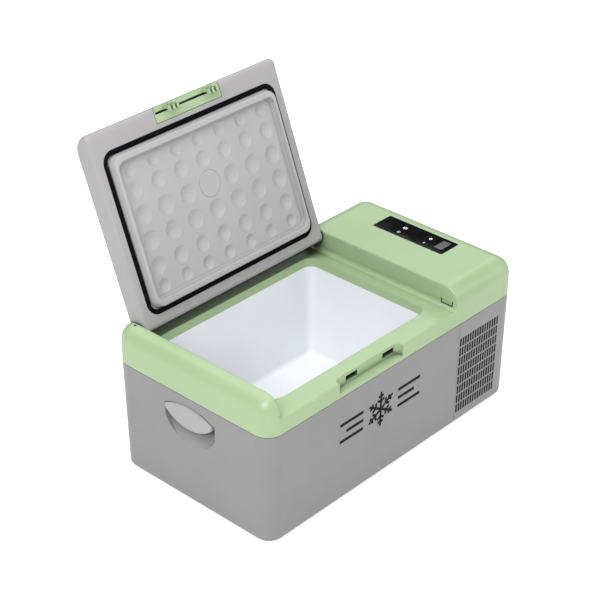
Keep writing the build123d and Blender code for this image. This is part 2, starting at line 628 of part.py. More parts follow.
# Condenser: plate fins on a serpentine tube, behind the front grille
CONDENSER_Y = (-150.0, -128.5)
CONDENSER_Z = (28.0, 150.0)
TUBE_ROWS = (137.0, 113.0, 89.0, 65.0, 41.0)
TUBE_Y = sum(CONDENSER_Y) / 2
TUBE_RADIUS = 3.0
with BuildPart() as condenser_fins:
    with BuildSketch(Plane.YZ.offset(172)) as fin_outline:
        with Locations((TUBE_Y, sum(CONDENSER_Z) / 2)):
            Rectangle(CONDENSER_Y[1] - CONDENSER_Y[0], CONDENSER_Z[1] - CONDENSER_Z[0])
        with Locations(*[(TUBE_Y, z) for z in TUBE_ROWS]):
            Circle(TUBE_RADIUS + 0.1, mode=Mode.SUBTRACT)
    one_fin = extrude(fin_outline.sketch, amount=0.6, mode=Mode.PRIVATE)
    with Locations(*[(pitch * 3.5, 0, 0) for pitch in range(19)]):
        add(one_fin)
condenser_fins.part.label = "condenser_fins"
export_step(condenser_fins.part, "parts/condenser_fins.step")

tube_turns = []
for row, z in enumerate(TUBE_ROWS):
    ends = (252.0, 158.0) if row % 2 == 0 else (158.0, 252.0)
    tube_turns += [(x, TUBE_Y, z) for x in ends]
with BuildPart() as condenser_tube:
    tube_along(tube_turns, 12, TUBE_RADIUS)
condenser_tube.part.label = "condenser_tube"
export_step(condenser_tube.part, "parts/condenser_tube.step")

# Fan: shroud plate, frame with bearing hub, rotor
FAN_CENTRE = (204.0, 78.0)
FAN_SIZE = 92.0
FAN_Y = (-121.0, -96.0)
FAN_HOLE_PITCH = 82.5
with BuildPart() as fan_shroud:
    slab((155, 253), (-127.5, -124), (27, 152))
    # foot of the shroud, clear of the foot bosses
    slab((155, 226), (-127.5, -124), (CHASSIS_Z[1] + 0.1, 27))
    slab((155, 226), (-127.5, -108), (CHASSIS_Z[1] + 0.1, CHASSIS_Z[1] + 1.7))
    with BuildSketch(Plane.XZ.offset(120)) as shroud_holes:
        with Locations(FAN_CENTRE):
            Circle(44)
            with GridLocations(FAN_HOLE_PITCH, FAN_HOLE_PITCH, 2, 2):
                Circle(1.8)
    extrude(shroud_holes.sketch, amount=10, mode=Mode.SUBTRACT)
fan_shroud.part.label = "fan_shroud"
export_step(fan_shroud.part, "parts/fan_shroud.step")

SHAFT_RADIUS = 2.0
with BuildPart() as fan_housing:
    with BuildSketch(Plane.XZ.offset(-FAN_Y[1])) as fan_frame:
        with Locations(FAN_CENTRE):
            RectangleRounded(FAN_SIZE, FAN_SIZE, 4)
            Circle(44, mode=Mode.SUBTRACT)
            with GridLocations(FAN_HOLE_PITCH, FAN_HOLE_PITCH, 2, 2):
                Circle(2.2, mode=Mode.SUBTRACT)
    extrude(fan_frame.sketch, amount=FAN_Y[1] - FAN_Y[0])
    with BuildSketch(Plane.XZ.offset(-FAN_Y[1])) as fan_spider:
        with Locations(FAN_CENTRE):
            Rectangle(90, 5, rotation=45)
            Rectangle(90, 5, rotation=-45)
            Circle(18)
    extrude(fan_spider.sketch, amount=3)
    hub_start = (FAN_CENTRE[0], FAN_Y[1] - 3, FAN_CENTRE[1])
    rod(hub_start, (0, -1, 0), 5, 8)
    rod((FAN_CENTRE[0], FAN_Y[1] + 1, FAN_CENTRE[1]), (0, -1, 0), SHAFT_RADIUS + 0.05, 14, mode=Mode.SUBTRACT)
fan_housing.part.label = "fan_housing"
export_step(fan_housing.part, "parts/fan_housing.step")

BLADES = 7
with BuildPart() as fan_rotor:
    rod((FAN_CENTRE[0], FAN_Y[0] + 2, FAN_CENTRE[1]), (0, 1, 0), 19, 18)
    rod((FAN_CENTRE[0], FAN_Y[0] + 4, FAN_CENTRE[1]), (0, 1, 0), 16.5, 17, mode=Mode.SUBTRACT)
    rod((FAN_CENTRE[0], FAN_Y[0] + 3, FAN_CENTRE[1]), (0, 1, 0), SHAFT_RADIUS, 21)
    blade_centre = (FAN_CENTRE[0], sum(FAN_Y) / 2 - 2, FAN_CENTRE[1])
    for blade in range(BLADES):
        turn = radians(360 / BLADES * blade)
        outward = (cos(turn), 0, sin(turn))
        root = tuple(c + 18 * o for c, o in zip(blade_centre, outward))
        across = (-sin(turn) * cos(radians(32)), sin(radians(32)), cos(turn) * cos(radians(32)))
        with BuildSketch(Plane(origin=root, x_dir=across, z_dir=outward)) as blade_section:
            with BuildLine():
                ThreePointArc((-11, 0), (0, 2.2), (11, 0))
                ThreePointArc((11, 0), (0, 3.8), (-11, 0))
            make_face()
        extrude(blade_section.sketch, amount=23.5)
fan_rotor.part.label = "fan_rotor"
export_step(fan_rotor.part, "parts/fan_rotor.step")

with BuildPart() as fan_screws:
    for dx in (-FAN_HOLE_PITCH / 2, FAN_HOLE_PITCH / 2):
        for dz in (-FAN_HOLE_PITCH / 2, FAN_HOLE_PITCH / 2):
            x, z = FAN_CENTRE[0] + dx, FAN_CENTRE[1] + dz
            rod((x, FAN_Y[1] + 2, z), (0, -1, 0), 3.4, 2)
            rod((x, FAN_Y[1], z), (0, -1, 0), 1.7, 31)
            rod((x, FAN_Y[0], z), (0, -1, 0), 3.2, 3)
fan_screws.part.label = "fan_screws"
export_step(fan_screws.part, "parts/fan_screws.step")

# Refrigerant lines
with BuildPart() as suction_line:
    port_x = COMPRESSOR[0] + SUCTION_PORT_X
    tube_along(
        [(COIL_LEAD_X, 96, 144), (166, 96, 144), (166, 130, 144), (port_x, 130, 110),
         (port_x, 130, SUCTION_PORT_Z), (port_x, COMPRESSOR[1] + 35, SUCTION_PORT_Z)],
        8, SUCTION_RADIUS,
    )
suction_line.part.label = "suction_line"
export_step(suction_line.part, "parts/suction_line.step")

with BuildPart() as discharge_line:
    port_y = COMPRESSOR[1] + DISCHARGE_PORT_Y
    tube_along(
        [(COMPRESSOR[0], port_y, 128), (COMPRESSOR[0], port_y, 152),
         (236, -70, 154), (262, -100, 154), (262, TUBE_Y, TUBE_ROWS[0]), (252, TUBE_Y, TUBE_ROWS[0])],
        6, DISCHARGE_RADIUS,
    )
discharge_line.part.label = "discharge_line"
export_step(discharge_line.part, "parts/discharge_line.step")

DRIER_AXIS = Axis((166, -60, 34), (0, 1, 0))
with BuildPart() as filter_drier:
    with BuildSketch(Plane.YZ.offset(166)) as drier_half:
        with BuildLine():
            Polyline(
                (-60, 34), (-60, 36), (-52, 41.5), (6, 41.5), (16, 36), (16, 34), (-60, 34),
            )
        make_face()
    revolve(drier_half.sketch, DRIER_AXIS)
filter_drier.part.label = "filter_drier"
export_step(filter_drier.part, "parts/filter_drier.step")

with BuildPart() as liquid_lines:
    tube_along(
        [(252, TUBE_Y, TUBE_ROWS[-1]), (266, TUBE_Y, TUBE_ROWS[-1]), (266, -90, 20), (166, -90, 20),
         (166, -76, 34), (166, -60, 34)],
        5, 1.6,
    )
    tube_along([(166, 16, 34), (166, 60, 34), (157, 60, 50), (157, 60, 80), (COIL_LEAD_X, 60, 80)], 5, 1.2)
liquid_lines.part.label = "liquid_lines"
export_step(liquid_lines.part, "parts/liquid_lines.step")

# Controller on a bracket above the compressor
SHELF_Z = 160.0
with BuildPart() as controller_bracket:
    slab((144.6, 146.2), (0, 112), (SHELF_Z, 194))
    slab((144.6, 232), (0, 112), (SHELF_Z, SHELF_Z + 1.6))
    for x in (164.0, 222.0):
        for y in (10.0, 102.0):
            rod((x, y, SHELF_Z + 1.6), (0, 0, 1), 3, 5)
controller_bracket.part.label = "controller_bracket"
export_step(controller_bracket.part, "parts/controller_bracket.step")

BOARD_Z = SHELF_Z + 6.6
with BuildPart() as controller_board:
    slab((158, 228), (4, 108), (BOARD_Z, BOARD_Z + 1.6))
    for x, y in ((176, 24), (176, 42), (176, 60)):
        rod((x, y, BOARD_Z + 1.6), (0, 0, 1), 6.5, 18)
    slab((170, 186), (76, 100), (BOARD_Z + 1.6, BOARD_Z + 13))
    slab((205, 225), (5, 12), (BOARD_Z + 1.6, BOARD_Z + 9))
controller_board.part.label = "controller_board"
export_step(controller_board.part, "parts/controller_board.step")

with BuildPart() as controller_heat_sink:
    slab((194, 224), (14, 98), (BOARD_Z + 1.6, BOARD_Z + 4.6))
    for step in range(6):
        x = 194 + step * 5.6
        slab((x, x + 2), (14, 98), (BOARD_Z + 4.6, BOARD_Z + 18))
controller_heat_sink.part.label = "controller_heat_sink"
export_step(controller_heat_sink.part, "parts/controller_heat_sink.step")

# Power inlet in the right end
INLET_X = BODY_LENGTH / 2 - 1.9
SOCKET_PIN_Y = (-100.0, -90.0)
with BuildPart() as power_socket:
    slab((INLET_X, INLET_X + 2.2), (-113, -77), (57, 83))
    fillet(power_socket.edges().filter_by(Axis.X), 4)
    slab((INLET_X - 22, INLET_X + 0.5), (-108.7, -81.3), (62.3, 77.7))
    slab((INLET_X - 14, INLET_X + 3), (-105, -85), (65, 75), mode=Mode.SUBTRACT)
    for y in SOCKET_PIN_Y:
        rod((INLET_X - 26, y, 70), (1, 0, 0), 1.6, 22, mode=Mode.SUBTRACT)
power_socket.part.label = "power_socket"
export_step(power_socket.part, "parts/power_socket.step")

with BuildPart() as socket_pins:
    for y in SOCKET_PIN_Y:
        rod((INLET_X - 26, y, 70), (1, 0, 0), 1.6, 22)
socket_pins.part.label = "socket_pins"
export_step(socket_pins.part, "parts/socket_pins.step")

# ---------------------------------------------------------------------------
# Control panel
# ---------------------------------------------------------------------------
LENS_Z = (BODY_HEIGHT - PANEL_THICKNESS, BODY_HEIGHT)
with BuildPart() as panel_lens:
    rounded_prism(PANEL_X, PANEL_Y, LENS_Z, 2)
    for x, y in KEY_CENTRES.values():
        rod((x, y, LENS_Z[0] - 1), (0, 0, 1), KEY_RADIUS + 0.3, 4, mode=Mode.SUBTRACT)
    slab(
        grown((DISPLAY_CENTRE[0],) * 2, DISPLAY_SIZE[0] / 2 + 0.1),
        grown((DISPLAY_CENTRE[1],) * 2, DISPLAY_SIZE[1] / 2 + 0.1),
        grown(LENS_Z, 1), mode=Mode.SUBTRACT,
    )
panel_lens.part.label = "panel_lens"
export_step(panel_lens.part, "parts/panel_lens.step")

with BuildPart() as display_window:
    slab(
        grown((DISPLAY_CENTRE[0],) * 2, DISPLAY_SIZE[0] / 2),
        grown((DISPLAY_CENTRE[1],) * 2, DISPLAY_SIZE[1] / 2), LENS_Z,
    )
display_window.part.label = "display_window"
export_step(display_window.part, "parts/display_window.step")

PANEL_BOARD_Z = BODY_HEIGHT - 9.6
with BuildPart() as panel_board:
    slab((207, 251), (-78, 83), (PANEL_BOARD_Z, PANEL_BOARD_Z + 1.6))
panel_board.part.label = "panel_board"
export_step(panel_board.part, "parts/panel_board.step")

with BuildPart() as display_module:
    slab((219, 243), (-58.5, -45.5), (PANEL_BOARD_Z + 1.6, LENS_Z[0] - 0.3))
display_module.part.label = "display_module"
export_step(display_module.part, "parts/display_module.step")

with BuildPart() as key_switches:
    for x, y in KEY_CENTRES.values():
        slab((x - 3, x + 3), (y - 3, y + 3), (PANEL_BOARD_Z + 1.6, PANEL_BOARD_Z + 2.6))
key_switches.part.label = "key_switches"
export_step(key_switches.part, "parts/key_switches.step")

for key_name, (x, y) in KEY_CENTRES.items():
    with BuildPart() as panel_key:
        rod((x, y, PANEL_BOARD_Z + 3.3), (0, 0, 1), KEY_RADIUS + 1.2, 1.4)
        rod((x, y, PANEL_BOARD_Z + 3.3), (0, 0, 1), KEY_RADIUS, BODY_HEIGHT - PANEL_BOARD_Z - 3.4)
        fillet(panel_key.edges().group_by(Axis.Z)[-1], 0.5)
    panel_key.part.label = key_name
    export_step(panel_key.part, f"parts/{key_name}.step")

# Wiring: panel lead, fan lead, two inlet leads
INLET_LEADS = {SOCKET_PIN_Y[0]: 210.0, SOCKET_PIN_Y[1]: 220.0}
with BuildPart() as wiring_loom:
    panel_lead_z = BOARD_Z + 24
    tube_along(
        [(178, 88, BOARD_Z + 13), (178, 88, panel_lead_z), (236, 100, panel_lead_z),
         (240, 70, 228), (240, 60, 238), (240, 60, PANEL_BOARD_Z - 0.2)],
        6, 1.8,
    )
    fan_lead_z = BOARD_Z + 14
    tube_along(
        [(186, 10, BOARD_Z + 1.7), (186, 10, fan_lead_z), (186, -20, fan_lead_z), (172, -70, 160),
         (172, -100, 150), (172, -100, FAN_CENTRE[1] + FAN_SIZE / 2 + 0.1)],
        6, 1.8,
    )
    for pin_y, board_x in INLET_LEADS.items():
        tube_along(
            [(INLET_X - 26, pin_y, 70), (253.6, pin_y, 70), (253.6, pin_y, 110), (250, pin_y + 36, 150),
             (board_x, -12, 172), (board_x, 5, 172)],
            3, 1.7,
        )
wiring_loom.part.label = "wiring_loom"
export_step(wiring_loom.part, "parts/wiring_loom.step")


# ---------------------------------------------------------------------------
# Lid: drawn closed, then swung open about the hinge
# ---------------------------------------------------------------------------
def opened(part):
    """The part turned from the closed lid's place to the open lid's."""
    return part.rotate(HINGE_AXIS, -LID_ANGLE)


def lid_block(inset=0.0):
    """Outer form of the lid, shrunk by inset on every side."""
    with BuildPart() as block:
        with BuildSketch(Plane.YZ.offset(LID_X[0] + inset)) as side:
            with Locations((sum(LID_Y) / 2, sum(LID_Z) / 2)):
                Rectangle(LID_Y[1] - LID_Y[0] - 2 * inset, LID_Z[1] - LID_Z[0] - 2 * inset)
            # local X runs along the lid's depth, local Y is its height
            fillet(side.vertices().group_by(Axis.X)[0].sort_by(Axis.Y)[-1], LID_FRONT_RADIUS - inset)
            fillet(side.vertices().group_by(Axis.X)[0].sort_by(Axis.Y)[0], LID_FOOT_RADIUS - inset)
            fillet(side.vertices().group_by(Axis.X)[-1].sort_by(Axis.Y)[-1], LID_BACK_RADIUS - inset)
            fillet(side.vertices().group_by(Axis.X)[-1].sort_by(Axis.Y)[0], LID_FOOT_RADIUS - inset)
        extrude(amount=LID_X[1] - LID_X[0] - 2 * inset)
        fillet(block.faces().filter_by(Axis.X).edges(), LID_END_RADIUS - inset)
    return block.part


LID_SIDES = ((LID_X[0], 1), (LID_X[1], -1))
with BuildPart() as lid_outer_shell:
    add(lid_block())
    add(lid_block(LID_WALL), mode=Mode.SUBTRACT)
    # mouth for the gasket and the inner panel
    rounded_prism(
        grown(GASKET_X, FIT), grown(GASKET_Y, FIT), (LID_Z[0] - 1, LID_Z[0] + 4), GASKET_RADIUS + FIT,
        mode=Mode.SUBTRACT,
    )
    # opening for the latch, hollowed round its pin
    opening_x = grown(LATCH_X, LATCH_GAP)
    slab(opening_x, (LID_Y[0] - 2, LATCH_BACK_Y + LATCH_GAP), (LID_Z[0] - 2, 246), mode=Mode.SUBTRACT)
    rod((opening_x[0], *LATCH_PIN), (1, 0, 0), 8.5, opening_x[1] - opening_x[0], mode=Mode.SUBTRACT)
    # hinge bosses
    for start, inward in LID_SIDES:
        rod((start + inward * 2, HINGE_Y, HINGE_Z), (inward, 0, 0), HINGE_BOSS, 10)
        rod((start - inward, HINGE_Y, HINGE_Z), (inward, 0, 0), BUSH_RADIUS, 14, mode=Mode.SUBTRACT)
lid_outer_shell.part = opened(lid_outer_shell.part)
lid_outer_shell.part.label = "lid_outer_shell"
export_step(lid_outer_shell.part, "parts/lid_outer_shell.step")

with BuildPart() as hinge_bushes:
    for start, inward in LID_SIDES:
        rod((start + inward * 0.2, HINGE_Y, HINGE_Z), (inward, 0, 0), BUSH_RADIUS, 11.5)
        rod((start - inward, HINGE_Y, HINGE_Z), (inward, 0, 0), 3.05, 16, mode=Mode.SUBTRACT)
hinge_bushes.part = opened(hinge_bushes.part)
hinge_bushes.part.label = "hinge_bushes"
export_step(hinge_bushes.part, "parts/hinge_bushes.step")

with BuildPart() as hinge_pins:
    rod((CHEEK_X - 8, HINGE_Y, HINGE_Z), (1, 0, 0), 3.0, 20)
    rod((HOOD_X + 10, HINGE_Y, HINGE_Z), (-1, 0, 0), 3.0, 22)
hinge_pins.part.label = "hinge_pins"
export_step(hinge_pins.part, "parts/hinge_pins.step")

PANEL_FLANGE_Z = (LID_Z[0] + LID_WALL + 0.1, LID_Z[0] + LID_WALL + 2.6)


def dimple(diameter, depth=3.0):
    """Shallow bowl, rim at z = 0, reaching up to z = depth."""
    with BuildPart() as bowl:
        with BuildSketch(Plane.XZ) as half:
            with BuildLine():
                Line((0, -0.2), (diameter / 2, -0.2))
                Line((diameter / 2, -0.2), (diameter / 2, 0))
                TangentArc((0, depth), (diameter / 2, 0), tangent=(1, 0))
                Line((0, depth), (0, -0.2))
            make_face()
        revolve(half.sketch, Axis.Z)
    return bowl.part


with BuildPart() as lid_inner_panel:
    flange_y = (GASKET_Y[0] - 3.6, GASKET_Y[1] + 5)
    rounded_prism(grown(GASKET_X, 6.5), flange_y, PANEL_FLANGE_Z, GASKET_RADIUS + 3)
    rounded_prism(RIDGE_X, RIDGE_Y, (PANEL_FLANGE_Z[0], RIDGE_Z), RIDGE_RADIUS, RIDGE_TAPER)
    fillet(lid_inner_panel.edges().group_by(Axis.Z)[0], 2.5)
    # recessed field inside the ridge, with a step on the way down
    rounded_prism(
        grown(FIELD_X, STEP_WIDTH), grown(FIELD_Y, STEP_WIDTH),
        (RIDGE_Z - 1, STEP_Z), FIELD_RADIUS + STEP_WIDTH, 8, mode=Mode.SUBTRACT,
    )
    fillet(lid_inner_panel.faces().filter_by(Axis.Z).sort_by(Axis.Z)[0].inner_wires()[0].edges(), 1.5)
    rounded_prism(FIELD_X, FIELD_Y, (STEP_Z - 1, FIELD_Z), FIELD_RADIUS, 8, mode=Mode.SUBTRACT)
    # hollow behind the ridge and behind the field
    with BuildSketch(Plane.XY.offset(RIDGE_Z + 2.5)) as ridge_hollow:
        with Locations((sum(RIDGE_X) / 2, sum(RIDGE_Y) / 2)):
            RectangleRounded(RIDGE_X[1] - RIDGE_X[0] - 11, RIDGE_Y[1] - RIDGE_Y[0] - 11, RIDGE_RADIUS - 5)
        with Locations((sum(FIELD_X) / 2, sum(FIELD_Y) / 2)):
            field_size = (FIELD_X[1] - FIELD_X[0] + 11, FIELD_Y[1] - FIELD_Y[0] + 11)
            RectangleRounded(*field_size, FIELD_RADIUS + 5.5, mode=Mode.SUBTRACT)
    extrude(ridge_hollow.sketch, amount=16, mode=Mode.SUBTRACT)
    rounded_prism(FIELD_X, FIELD_Y, (FIELD_Z + 4.5, FIELD_Z + 8), FIELD_RADIUS, mode=Mode.SUBTRACT)
    # rows of dimples, larger towards the middle; the plug cap takes the place of one
    for y, diameter in DIMPLE_ROWS:
        bowl = dimple(diameter)
        for column in range(DIMPLE_COLUMNS):
            x = DIMPLE_CENTRE_X + (column - DIMPLE_COLUMNS // 2) * DIMPLE_PITCH_X
            if abs(x - PLUG_CAP_CENTRE[0]) + abs(y - PLUG_CAP_CENTRE[1]) < 5:
                continue
            add(bowl.moved(Location((x, y, FIELD_Z))), mode=Mode.SUBTRACT)
    rod((*PLUG_CAP_CENTRE, FIELD_Z - 0.5), (0, 0, 1), PLUG_CAP_RADIUS + 0.3, 2.5, mode=Mode.SUBTRACT)
    rod((*PLUG_CAP_CENTRE, FIELD_Z), (0, 0, 1), 8, 8, mode=Mode.SUBTRACT)
lid_inner_panel.part = opened(lid_inner_panel.part)
lid_inner_panel.part.label = "lid_inner_panel"
export_step(lid_inner_panel.part, "parts/lid_inner_panel.step")

with BuildPart() as lid_plug_cap:
    rod((*PLUG_CAP_CENTRE, FIELD_Z - 0.4), (0, 0, 1), PLUG_CAP_RADIUS, 2.4)
    fillet(lid_plug_cap.edges().group_by(Axis.Z)[0], 0.6)
    rod((*PLUG_CAP_CENTRE, FIELD_Z + 1), (0, 0, 1), 7.8, 5)
lid_plug_cap.part = opened(lid_plug_cap.part)
lid_plug_cap.part.label = "lid_plug_cap"
export_step(lid_plug_cap.part, "parts/lid_plug_cap.step")

GASKET_Z = (LEDGE_Z + 0.2, PANEL_FLANGE_Z[0])
with BuildPart() as lid_gasket:
    rounded_prism(GASKET_X, GASKET_Y, GASKET_Z, GASKET_RADIUS)
    rounded_prism(
        grown(GASKET_X, -GASKET_WIDTH), grown(GASKET_Y, -GASKET_WIDTH),
        GASKET_Z, GASKET_RADIUS - GASKET_WIDTH,
        mode=Mode.SUBTRACT,
    )
    fillet(lid_gasket.edges().group_by(Axis.Z)[0], 1.2)
lid_gasket.part = opened(lid_gasket.part)
lid_gasket.part.label = "lid_gasket"
export_step(lid_gasket.part, "parts/lid_gasket.step")

with BuildPart() as lid_foam:
    add(lid_block(LID_WALL + FIT))
    slab((-300, 200), (-129, 200), (PANEL_FLANGE_Z[1] + FIT, 300), mode=Mode.INTERSECT)
    for start, inward in LID_SIDES:
        slab(
            (min(start, start + inward * 15), max(start, start + inward * 15)), (129, 160), (236, 262),
            mode=Mode.SUBTRACT,
        )
lid_foam.part = opened(lid_foam.part)
lid_foam.part.label = "lid_foam"
export_step(lid_foam.part, "parts/lid_foam.step")

# Latch: fixed bezel with end cheeks, lever on a pin, return spring
PIN_Y, PIN_Z = LATCH_PIN
with BuildPart() as latch_bezel:
    slab(LATCH_X, (-147.2, LATCH_BACK_Y), (LID_Z[0], LID_Z[0] + 2.4))
    slab(LATCH_X, (LATCH_BACK_Y - 2, LATCH_BACK_Y), (LID_Z[0], 250))
    for x in (LATCH_X[0], LATCH_X[1] - 2):
        slab((x, x + 2), (LID_Y[0], LATCH_BACK_Y), (LID_Z[0], 245.8))
        rod((x, PIN_Y, PIN_Z), (1, 0, 0), 8.3, 2)
    add(lid_block(), mode=Mode.INTERSECT)
    rod((LATCH_X[0] - 1, PIN_Y, PIN_Z), (1, 0, 0), LATCH_PIN_RADIUS, 140, mode=Mode.SUBTRACT)
latch_bezel.part = opened(latch_bezel.part)
latch_bezel.part.label = "latch_bezel"
export_step(latch_bezel.part, "parts/latch_bezel.step")

LEVER_X = (LATCH_X[0] + 2.3, LATCH_X[1] - 2.3)
SKIN_CENTRE = (LID_Y[0] + LID_FRONT_RADIUS, LID_Z[1] - LID_FRONT_RADIUS)
SKIN = 3.5
with BuildPart() as latch_lever:
    with BuildSketch(Plane.YZ.offset(LEVER_X[0])):
        # curved skin that carries on the lid's rounded front edge
        with Locations(SKIN_CENTRE):
            Circle(LID_FRONT_RADIUS)
            Circle(LID_FRONT_RADIUS - SKIN, mode=Mode.SUBTRACT)
        rise = (PIN_Z - SKIN_CENTRE[1]) / (PIN_Y - SKIN_CENTRE[0])
        with BuildLine(mode=Mode.PRIVATE) as mask_line:
            Polyline(
                SKIN_CENTRE, (SKIN_CENTRE[0] - 60, SKIN_CENTRE[1] - 60 * rise),
                (SKIN_CENTRE[0] - 60, SKIN_CENTRE[1]), SKIN_CENTRE,
            )
        make_face(mask_line.line, mode=Mode.INTERSECT)
        with Locations((LID_Y[0] + SKIN / 2, (SKIN_CENTRE[1] + 224.4) / 2)):
            Rectangle(SKIN, SKIN_CENTRE[1] - 224.4)
        # grip bead along the lower edge
        with Locations((-154.2, 226.4)):
            Rectangle(7.6, 4)
        with Locations(LATCH_PIN):
            Circle(LATCH_BARREL)
            Circle(LATCH_PIN_RADIUS + 0.05, mode=Mode.SUBTRACT)
    extrude(amount=LEVER_X[1] - LEVER_X[0])
    # each hook is three fingers with a nose at the tip
    for x in HOOK_X:
        for finger in (-8.5, 0, 8.5):
            slab((x + finger - 2.1, x + finger + 2.1), (-154.8, -150.6), (211, 236))
            slab((x + finger - 2.1, x + finger + 2.1), (-154.8, -146.2), (211, 215.2))
    # room for the return spring
    slab((-67, -52), (-151, -138), (237, 250), mode=Mode.SUBTRACT)
latch_lever.part = opened(latch_lever.part)
latch_lever.part.label = "latch_lever"
export_step(latch_lever.part, "parts/latch_lever.step")

with BuildPart() as latch_pin:
    rod((LATCH_X[0], PIN_Y, PIN_Z), (1, 0, 0), LATCH_PIN_RADIUS, LATCH_WIDTH)
latch_pin.part = opened(latch_pin.part)
latch_pin.part.label = "latch_pin"
export_step(latch_pin.part, "parts/latch_pin.step")

# close-wound coil: neighbouring turns touch, so they are drawn as overlapping rings
with BuildPart() as latch_spring:
    with BuildSketch(Plane.XZ.offset(-PIN_Y)):
        with Locations(*[(-65 + turn, PIN_Z + 2.8) for turn in range(12)]):
            Circle(0.56)
    revolve(axis=Axis((0, PIN_Y, PIN_Z), (1, 0, 0)))
latch_spring.part = opened(latch_spring.part)
latch_spring.part.label = "latch_spring"
export_step(latch_spring.part, "parts/latch_spring.step")
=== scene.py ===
import json
from math import cos, pi, radians, sin

import bmesh
import bpy
from mathutils import Matrix, Vector


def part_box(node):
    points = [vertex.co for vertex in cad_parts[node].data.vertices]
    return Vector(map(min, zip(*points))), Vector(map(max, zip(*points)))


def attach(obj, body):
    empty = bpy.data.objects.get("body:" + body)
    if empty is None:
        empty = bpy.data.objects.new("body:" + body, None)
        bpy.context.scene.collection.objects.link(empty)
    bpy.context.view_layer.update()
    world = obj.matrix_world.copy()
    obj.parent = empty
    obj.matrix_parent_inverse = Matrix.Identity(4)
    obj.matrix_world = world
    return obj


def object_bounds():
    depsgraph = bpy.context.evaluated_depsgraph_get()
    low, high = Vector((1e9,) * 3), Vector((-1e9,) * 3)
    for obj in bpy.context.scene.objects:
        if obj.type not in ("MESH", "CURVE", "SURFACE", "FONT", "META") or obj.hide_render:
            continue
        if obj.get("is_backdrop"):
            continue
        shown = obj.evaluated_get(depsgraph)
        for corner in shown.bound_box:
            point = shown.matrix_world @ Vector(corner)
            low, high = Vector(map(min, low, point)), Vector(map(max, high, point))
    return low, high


# Looks of the compressor fridge: finishes for every CAD node, printed marks, dust nets, studio.
# Lengths are in metres in the row frame; helpers that take millimetres say so.

MM = 0.001
TAN30 = sin(pi / 6) / cos(pi / 6)
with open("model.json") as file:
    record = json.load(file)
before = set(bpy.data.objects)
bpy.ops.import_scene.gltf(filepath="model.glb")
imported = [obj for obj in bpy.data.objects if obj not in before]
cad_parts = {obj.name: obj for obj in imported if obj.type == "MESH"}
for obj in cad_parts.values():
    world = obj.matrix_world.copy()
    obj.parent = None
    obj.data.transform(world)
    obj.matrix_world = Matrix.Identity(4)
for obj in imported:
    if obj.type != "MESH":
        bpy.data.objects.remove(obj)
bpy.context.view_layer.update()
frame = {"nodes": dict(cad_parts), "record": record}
NODES = frame["nodes"]


# ---------------------------------------------------------------------------
# Materials
# ---------------------------------------------------------------------------
class Graph:
    """Short way to add and join shader nodes of one material."""

    def __init__(self, name):
        self.material = bpy.data.materials.new(name)
        self.material.use_nodes = True
        self.tree = self.material.node_tree
        self.bsdf = self.tree.nodes["Principled BSDF"]
        self.position = self.add("ShaderNodeTexCoord").outputs["Object"]

    def add(self, kind, **values):
        node = self.tree.nodes.new(kind)
        for key, value in values.items():
            setattr(node, key, value)
        return node

    def feed(self, socket, value):
        if isinstance(value, bpy.types.NodeSocket):
            self.tree.links.new(value, socket)
        else:
            socket.default_value = value

    def stretched(self, scale):
        """Object position scaled per axis, for streaks."""
        mapping = self.add("ShaderNodeMapping")
        mapping.inputs["Scale"].default_value = scale
        self.feed(mapping.inputs["Vector"], self.position)
        return mapping.outputs["Vector"]

    def noise(self, scale, detail=3.0, vector=None):
        texture = self.add("ShaderNodeTexNoise")
        texture.inputs["Scale"].default_value = scale
        texture.inputs["Detail"].default_value = detail
        self.feed(texture.inputs["Vector"], vector or self.position)
        return texture.outputs["Fac"]

    def cells(self, scale, feature="F1"):
        texture = self.add("ShaderNodeTexVoronoi", feature=feature)
        texture.inputs["Scale"].default_value = scale
        self.feed(texture.inputs["Vector"], self.position)
        return texture.outputs["Distance"]

    def spread(self, value, low, high, source=(0.3, 0.7)):
        """Maps a texture value from the source range to low..high."""
        node = self.add("ShaderNodeMapRange")
        self.feed(node.inputs["Value"], value)
        for socket, number in zip(("From Min", "From Max", "To Min", "To Max"), (*source, low, high)):
            node.inputs[socket].default_value = number
        return node.outputs["Result"]

    def mix(self, factor, first, second):
        node = self.add("ShaderNodeMix", data_type="RGBA")
        self.feed(node.inputs["Factor"], factor)
        self.feed(node.inputs["A"], first)
        self.feed(node.inputs["B"], second)
        return node.outputs["Result"]

    def bump(self, height, strength, distance, normal=None):
        node = self.add("ShaderNodeBump")
        node.inputs["Strength"].default_value = strength
        node.inputs["Distance"].default_value = distance
        self.feed(node.inputs["Height"], height)
        if normal:
            self.feed(node.inputs["Normal"], normal)
        return node.outputs["Normal"]

    def rounded(self, radius):
        """Normal of an edge softened by radius."""
        node = self.add("ShaderNodeBevel", samples=4)
        node.inputs["Radius"].default_value = radius
        return node.outputs["Normal"]

    def openness(self, reach):
        """1 where nothing stands over the surface within reach, towards 0 in gaps."""
        node = self.add("ShaderNodeAmbientOcclusion", samples=8)
        node.inputs["Distance"].default_value = reach
        return node.outputs["AO"]

    def patchy_edge_mask(self, soft_normal, reach=0.5):
        """0 on flat faces, towards 1 on softened edges, broken up by noise."""
        true_normal = self.add("ShaderNodeNewGeometry").outputs["Normal"]
        dot = self.add("ShaderNodeVectorMath", operation="DOT_PRODUCT")
        self.feed(dot.inputs[0], true_normal)
        self.feed(dot.inputs[1], soft_normal)
        edge = self.spread(dot.outputs["Value"], 1.0, 0.0, source=(0.85, 1.0))
        patchy = self.add("ShaderNodeMath", operation="MULTIPLY")
        self.feed(patchy.inputs[0], edge)
        self.feed(patchy.inputs[1], self.spread(self.noise(60.0), 0.0, reach))
        return patchy.outputs["Value"]


def shade(colour, amount):
    """Colour made lighter (amount above 1) or darker, as RGBA."""
    return (*[min(1.0, channel * amount) for channel in colour], 1.0)


